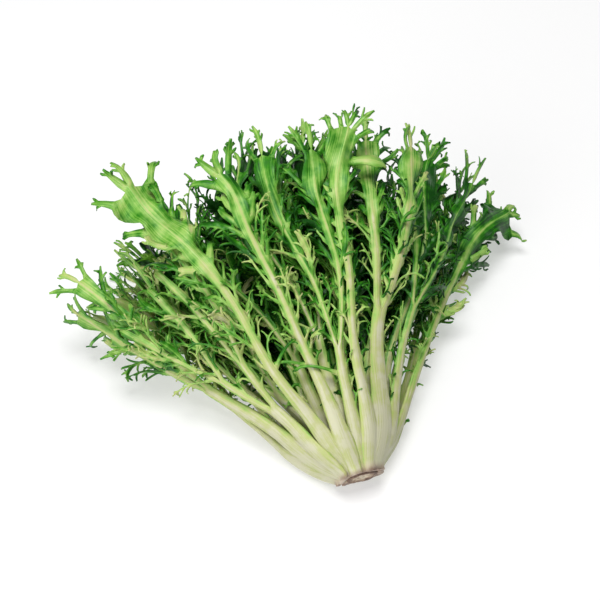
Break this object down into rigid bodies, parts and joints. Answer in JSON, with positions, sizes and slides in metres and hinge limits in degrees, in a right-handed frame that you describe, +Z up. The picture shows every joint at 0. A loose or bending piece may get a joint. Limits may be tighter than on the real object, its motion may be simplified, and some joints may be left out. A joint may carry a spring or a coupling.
{
  "type": "curly endive head",
  "caption": "Whole curly endive head lying on its side: a short cut stem from which ribbed pale stalks fan out into finely cut, frilly green leaves.",
  "frame": {"origin": "on the surface that the head lies on, under the middle of its outline", "axes": "+Z up, +Y along the stem from its cut end towards the leaf tips, +X across the fan of leaves"},
  "size_m": [0.299, 0.2288, 0.1461],
  "materials": {
    "stem_cream": "matte, freshly cut plant stem, browned at the rim",
    "leaf_green": "soft satin leaf, white ribbed stalk turning green",
    "inner_leaf_green": "soft satin leaf, paler green, white ribbed stalk",
    "heart_leaf_yellow": "soft satin leaf, yellow-green, white ribbed stalk"
  },
  "bodies": {
    "root": {"stem_butt": "stem_cream", "outer_leaf_01": "leaf_green", "outer_leaf_02": "leaf_green", "outer_leaf_03": "leaf_green", "outer_leaf_04": "leaf_green", "outer_leaf_05": "leaf_green", "outer_leaf_06": "leaf_green", "outer_leaf_07": "leaf_green", "outer_leaf_08": "leaf_green", "outer_leaf_09": "leaf_green", "outer_leaf_10": "leaf_green", "outer_leaf_11": "leaf_green", "outer_leaf_12": "leaf_green", "outer_leaf_13": "leaf_green", "outer_leaf_14": "leaf_green", "outer_leaf_15": "leaf_green", "outer_leaf_16": "leaf_green", "second_leaf_01": "leaf_green", "second_leaf_02": "leaf_green", "second_leaf_03": "leaf_green", "second_leaf_04": "leaf_green", "second_leaf_05": "leaf_green", "second_leaf_06": "leaf_green", "second_leaf_07": "leaf_green", "second_leaf_08": "leaf_green", "second_leaf_09": "leaf_green", "second_leaf_10": "leaf_green", "second_leaf_11": "leaf_green", "second_leaf_12": "leaf_green", "second_leaf_13": "leaf_green", "second_leaf_14": "leaf_green", "third_leaf_01": "inner_leaf_green", "third_leaf_02": "inner_leaf_green", "third_leaf_03": "inner_leaf_green", "third_leaf_04": "inner_leaf_green", "third_leaf_05": "inner_leaf_green", "third_leaf_06": "inner_leaf_green", "third_leaf_07": "inner_leaf_green", "third_leaf_08": "inner_leaf_green", "third_leaf_09": "inner_leaf_green", "third_leaf_10": "inner_leaf_green", "third_leaf_11": "inner_leaf_green", "inner_leaf_01": "inner_leaf_green", "inner_leaf_02": "inner_leaf_green", "inner_leaf_03": "inner_leaf_green", "inner_leaf_04": "inner_leaf_green", "inner_leaf_05": "inner_leaf_green", "inner_leaf_06": "inner_leaf_green", "inner_leaf_07": "inner_leaf_green", "inner_leaf_08": "inner_leaf_green", "heart_leaf_01": "heart_leaf_yellow", "heart_leaf_02": "heart_leaf_yellow", "heart_leaf_03": "heart_leaf_yellow", "heart_leaf_04": "heart_leaf_yellow", "heart_leaf_05": "heart_leaf_yellow"}
  },
  "joints": []
}
